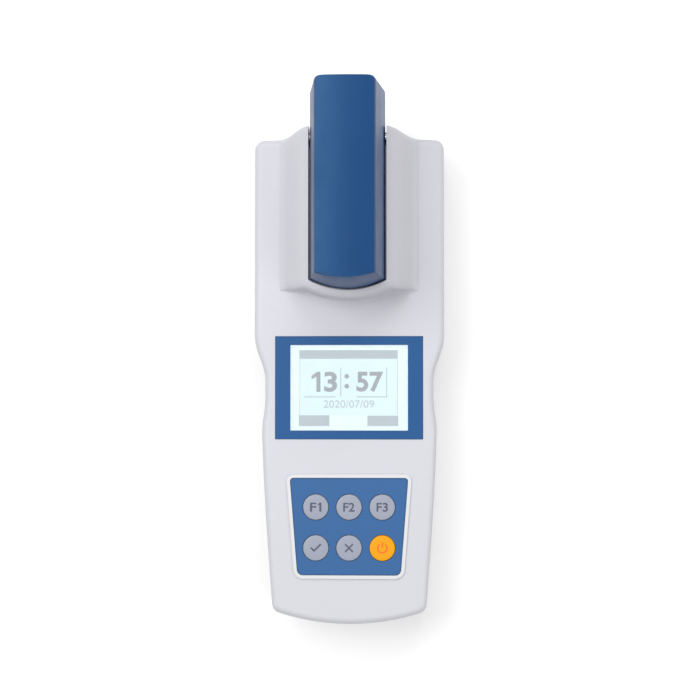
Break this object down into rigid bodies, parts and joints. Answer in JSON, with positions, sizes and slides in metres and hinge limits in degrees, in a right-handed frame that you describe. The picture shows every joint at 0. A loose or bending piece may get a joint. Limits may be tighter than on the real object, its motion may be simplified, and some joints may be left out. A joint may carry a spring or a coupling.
{
  "type": "portable water quality analyzer",
  "caption": "Hand-held colorimeter: plastic case with a framed display, keypad and a sample well under a tall hinged light cover",
  "frame": {"origin": "middle of the bounding box, at the bottom of the rubber feet", "axes": "+Z out of the face, +Y towards the cover end, +X to the right seen from above with +Y away"},
  "size_m": [0.087, 0.2411, 0.091],
  "materials": {
    "case": "satin moulded",
    "cover": "satin gloss",
    "black_plastic": "matte",
    "rubber": "matte",
    "steel": "plain",
    "bezel": "satin",
    "window": "polished",
    "lcd": "polished",
    "diffuser": "matte",
    "overlay": "satin film",
    "key": "satin",
    "power_key": "satin",
    "circuit_board": "solder mask",
    "flat_cable": "film",
    "optic": "polished",
    "filter": "polished",
    "cell_jacket": "printed sleeve"
  },
  "bodies": {
    "case": {"front_shell": "case", "rear_shell": "case", "case_seal": "rubber", "cover_seal": "rubber", "hinge_pin": "steel", "display_bezel": "bezel", "display_window": "window", "lcd_frame": "steel", "lcd_glass": "lcd", "lcd_backlight": "diffuser", "keypad_overlay": "overlay", "key_domes": "steel", "keypad_board": "circuit_board", "keypad_cable": "flat_cable", "keypad_screws": "steel", "main_board": "circuit_board", "board_chips": "black_plastic", "board_screws": "steel", "cell_holder": "black_plastic", "holder_screws": "steel", "lamp": "optic", "lamp_board": "circuit_board", "lens": "optic", "filter": "filter", "filter_ring": "steel", "photodiode": "steel", "detector_board": "circuit_board", "optics_screws": "steel", "optics_cables": "flat_cable", "battery_tray": "black_plastic", "batteries": "cell_jacket", "battery_contacts": "steel", "battery_springs": "steel", "case_feet": "rubber", "case_screws": "steel"},
    "cover": {"light_cover": "cover", "cover_liner": "black_plastic"},
    "key_f1": {"key_f1": "key"},
    "key_f2": {"key_f2": "key"},
    "key_f3": {"key_f3": "key"},
    "key_enter": {"key_enter": "key"},
    "key_cancel": {"key_cancel": "key"},
    "key_power": {"key_power": "power_key"},
    "battery_door": {"battery_door": "case", "door_feet": "rubber"}
  },
  "joints": [
    {"name": "cover_hinge", "type": "hinge", "parent": "case", "child": "cover", "pos_m": [0, 0.09895, 0.052], "axis": [-1, 0, 0], "range_deg": [0, 90]},
    {"name": "battery_door_slide", "type": "slide", "parent": "case", "child": "battery_door", "axis": [0, -1, 0], "range_m": [0, 0.07]},
    {"name": "key_f1_press", "type": "slide", "parent": "case", "child": "key_f1", "axis": [0, 0, -1], "range_m": [0, 0.0006], "stiffness_N_per_m": 500},
    {"name": "key_f2_press", "type": "slide", "parent": "case", "child": "key_f2", "axis": [0, 0, -1], "range_m": [0, 0.0006], "stiffness_N_per_m": 500},
    {"name": "key_f3_press", "type": "slide", "parent": "case", "child": "key_f3", "axis": [0, 0, -1], "range_m": [0, 0.0006], "stiffness_N_per_m": 500},
    {"name": "key_enter_press", "type": "slide", "parent": "case", "child": "key_enter", "axis": [0, 0, -1], "range_m": [0, 0.0006], "stiffness_N_per_m": 500},
    {"name": "key_cancel_press", "type": "slide", "parent": "case", "child": "key_cancel", "axis": [0, 0, -1], "range_m": [0, 0.0006], "stiffness_N_per_m": 500},
    {"name": "key_power_press", "type": "slide", "parent": "case", "child": "key_power", "axis": [0, 0, -1], "range_m": [0, 0.0006], "stiffness_N_per_m": 500}
  ]
}
